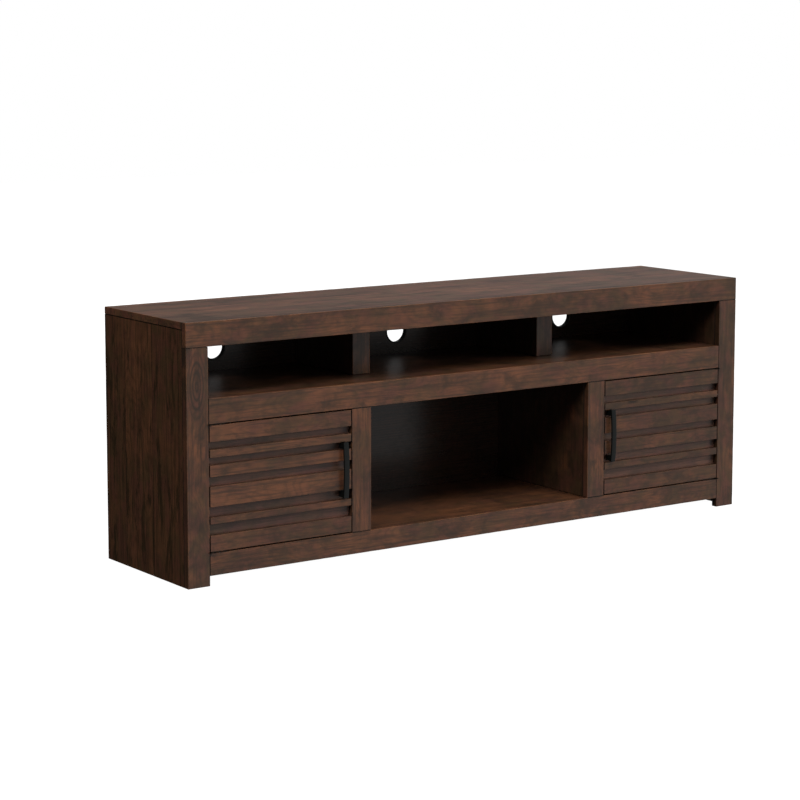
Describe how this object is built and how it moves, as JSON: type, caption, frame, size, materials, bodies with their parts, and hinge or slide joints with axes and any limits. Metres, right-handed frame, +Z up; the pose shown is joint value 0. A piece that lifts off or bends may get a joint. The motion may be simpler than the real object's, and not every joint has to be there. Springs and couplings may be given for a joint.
{
  "type": "tv stand with doors",
  "caption": "Low wooden media cabinet with open upper bays, cable holes, an open centre bay and slatted inset doors with black bow handles on each side.",
  "frame": {"origin": "on the floor, under the middle of the whole box, with the handles counted in its depth", "axes": "+X to the right as seen from the front, along the length; the doors face -Y; +Z up"},
  "size_m": [1.8352, 0.4372, 0.6699],
  "materials": {
    "frame_wood": "satin brown stain, face frame and rails",
    "top_wood": "satin brown stain, top board",
    "side_wood": "satin brown stain, glued-up side boards",
    "inner_wood": "satin brown stain, shelves, liners, dividers and back",
    "door_wood": "satin brown stain, door slats",
    "door_board_wood": "satin brown stain, thin board behind the slats",
    "handle_metal": "satin black",
    "hinge_metal": "dark bronze plate",
    "black_plastic": "satin",
    "catch_plastic": "matt",
    "steel": "zinc plated"
  },
  "bodies": {
    "carcass": {"top_board": "top_wood", "top_rail": "frame_wood", "middle_rail": "frame_wood", "bottom_rail": "frame_wood", "middle_shelf": "inner_wood", "bottom_shelf": "inner_wood", "back_panel": "inner_wood", "outer_stile_left": "frame_wood", "inner_stile_left": "frame_wood", "side_panel_left": "side_wood", "side_liner_left": "inner_wood", "partition_left": "inner_wood", "upper_divider_left": "inner_wood", "outer_stile_right": "frame_wood", "inner_stile_right": "frame_wood", "side_panel_right": "side_wood", "side_liner_right": "inner_wood", "partition_right": "inner_wood", "upper_divider_right": "inner_wood", "cable_grommet_left": "black_plastic", "cable_grommet_centre": "black_plastic", "cable_grommet_right": "black_plastic", "frame_hinge_left_top": "hinge_metal", "frame_hinge_left_bottom": "hinge_metal", "catch_left": "catch_plastic", "frame_hinge_right_top": "hinge_metal", "frame_hinge_right_bottom": "hinge_metal", "catch_right": "catch_plastic"},
    "left_door": {"door_board_left": "door_board_wood", "door_slat_left_1": "door_wood", "door_slat_left_2": "door_wood", "door_slat_left_3": "door_wood", "door_slat_left_4": "door_wood", "door_slat_left_5": "door_wood", "door_slat_left_6": "door_wood", "handle_left": "handle_metal", "handle_screw_left_upper": "steel", "handle_screw_left_lower": "steel", "door_hinge_left_top": "hinge_metal", "door_hinge_left_bottom": "hinge_metal", "strike_plate_left": "steel"},
    "right_door": {"door_board_right": "door_board_wood", "door_slat_right_1": "door_wood", "door_slat_right_2": "door_wood", "door_slat_right_3": "door_wood", "door_slat_right_4": "door_wood", "door_slat_right_5": "door_wood", "door_slat_right_6": "door_wood", "handle_right": "handle_metal", "handle_screw_right_upper": "steel", "handle_screw_right_lower": "steel", "door_hinge_right_top": "hinge_metal", "door_hinge_right_bottom": "hinge_metal", "strike_plate_right": "steel"}
  },
  "joints": [
    {"name": "left_door_hinge", "type": "hinge", "parent": "carcass", "child": "left_door", "pos_m": [-0.85308, -0.20769, 0.2471], "axis": [0, 0, -1], "range_deg": [0, 110]},
    {"name": "right_door_hinge", "type": "hinge", "parent": "carcass", "child": "right_door", "pos_m": [0.85308, -0.20769, 0.2471], "axis": [0, 0, 1], "range_deg": [0, 110]}
  ]
}
